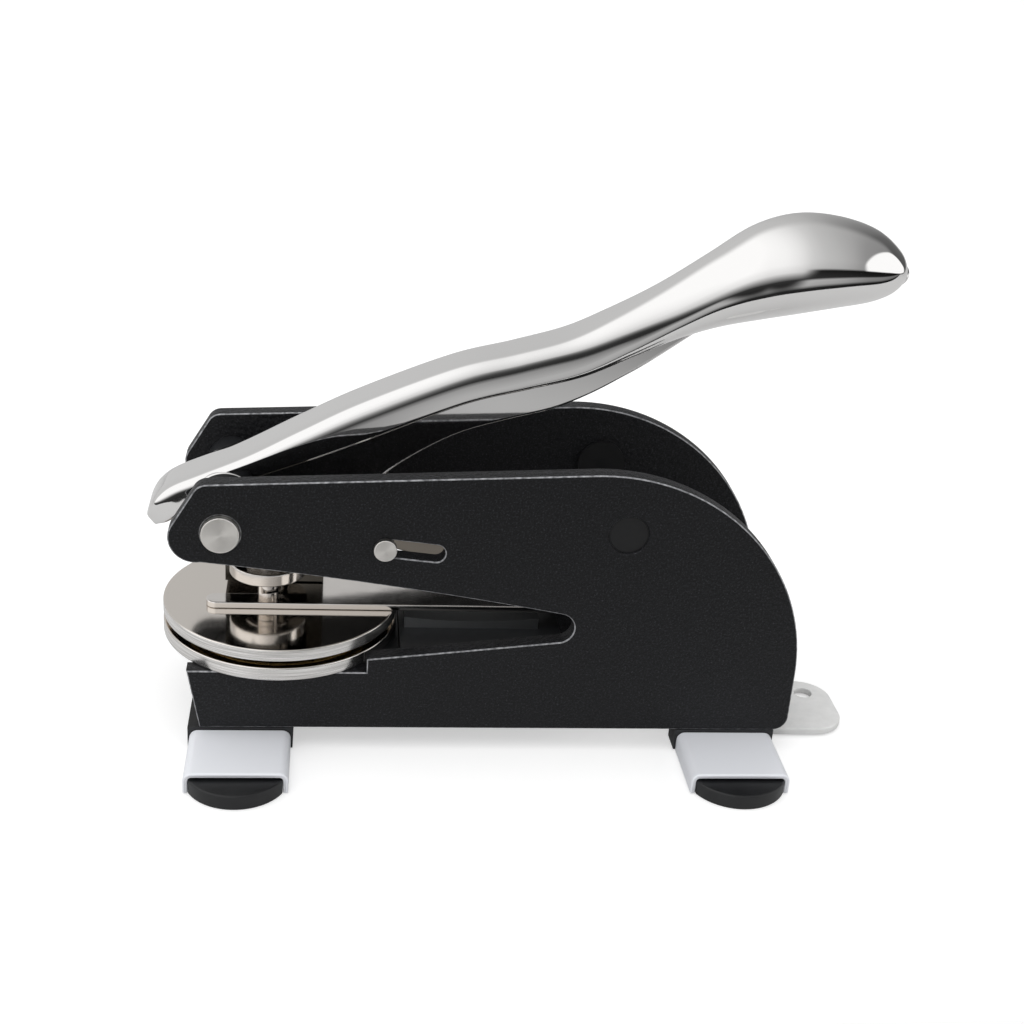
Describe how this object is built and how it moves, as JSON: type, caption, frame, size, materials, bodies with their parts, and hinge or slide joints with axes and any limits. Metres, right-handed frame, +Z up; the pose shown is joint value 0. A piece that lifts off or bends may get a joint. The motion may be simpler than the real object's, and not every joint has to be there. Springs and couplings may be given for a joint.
{
  "type": "seal embosser",
  "caption": "Desk seal press: a lever drives a guided ram that closes two round dies between black steel side plates on aluminium-capped feet.",
  "frame": {"origin": "on the desk, under the middle of the box around the whole machine", "axes": "+X along the machine towards the handle end, +Y across it to the far plate, +Z up"},
  "size_m": [0.1907, 0.108, 0.1399],
  "materials": {
    "black_textured": "fine leather-like black powder coat",
    "black_painted": "smooth black enamel",
    "chrome": "mirror-polished chrome",
    "nickel": "ground and nickel-plated",
    "turned_steel": "turned face",
    "zinc_steel": "zinc-plated",
    "grey_steel": "bead-blasted",
    "bronze": "sintered bronze",
    "brass_die": "blank die brass",
    "satin_aluminium": "satin anodised",
    "lug_grey": "light grey satin",
    "black_rubber": "moulded",
    "black_plastic": "moulded"
  },
  "bodies": {
    "frame": {"side_plate_near": "black_textured", "side_plate_far": "black_textured", "base_block": "black_painted", "rear_block": "black_painted", "ram_guide": "nickel", "plate_plug_near": "black_plastic", "plate_plug_far": "black_plastic", "pivot_pin": "turned_steel", "pivot_retaining_ring": "zinc_steel", "spacer_near": "black_painted", "spacer_far": "black_painted", "foot_bar_front": "black_painted", "foot_bar_rear": "black_painted", "foot_cap_front_near": "satin_aluminium", "foot_cap_front_far": "satin_aluminium", "foot_cap_rear_near": "satin_aluminium", "foot_cap_rear_far": "satin_aluminium", "rubber_foot_front_near": "black_rubber", "rubber_foot_front_far": "black_rubber", "rubber_foot_rear_near": "black_rubber", "rubber_foot_rear_far": "black_rubber", "rear_lug": "lug_grey", "lug_screws": "zinc_steel", "foot_screws": "zinc_steel", "lower_disc": "nickel", "lower_die": "brass_die", "rest_block": "grey_steel", "rest_screws": "zinc_steel", "spring_pin": "zinc_steel"},
    "lever": {"lever": "chrome", "lever_hook": "chrome", "lever_bush": "bronze", "press_pad": "grey_steel"},
    "ram": {"ram": "nickel", "adjusting_ring": "nickel", "upper_disc": "nickel", "upper_die": "brass_die"},
    "leaf": {"leaf_spring": "nickel"},
    "retainer": {"retaining_shaft": "turned_steel", "retaining_head": "turned_steel"}
  },
  "joints": [
    {"name": "lever_pivot", "type": "hinge", "parent": "frame", "child": "lever", "pos_m": [-0.076, 0, 0.062], "axis": [0, 1, 0], "range_deg": [0, 8], "stiffness_Nm_per_rad": 1.5, "springref_deg": -14.32},
    {"name": "ram_slide", "type": "slide", "parent": "frame", "child": "ram", "axis": [0, 0, -1], "range_m": [0, 0.00142]},
    {"name": "leaf_hinge", "type": "hinge", "parent": "frame", "child": "leaf", "pos_m": [0.021, 0, 0.03291], "axis": [0, -1, 0], "range_deg": [0, 0.77]},
    {"name": "retainer_slide", "type": "slide", "parent": "frame", "child": "retainer", "axis": [0.9947, 0, -0.1028], "range_m": [0, 0.0128]}
  ],
  "couplings": [
    {"joint": "ram_slide", "follows": "lever_pivot", "m_per_rad": 0.01016},
    {"joint": "leaf_hinge", "follows": "lever_pivot", "ratio": 0.09624}
  ]
}
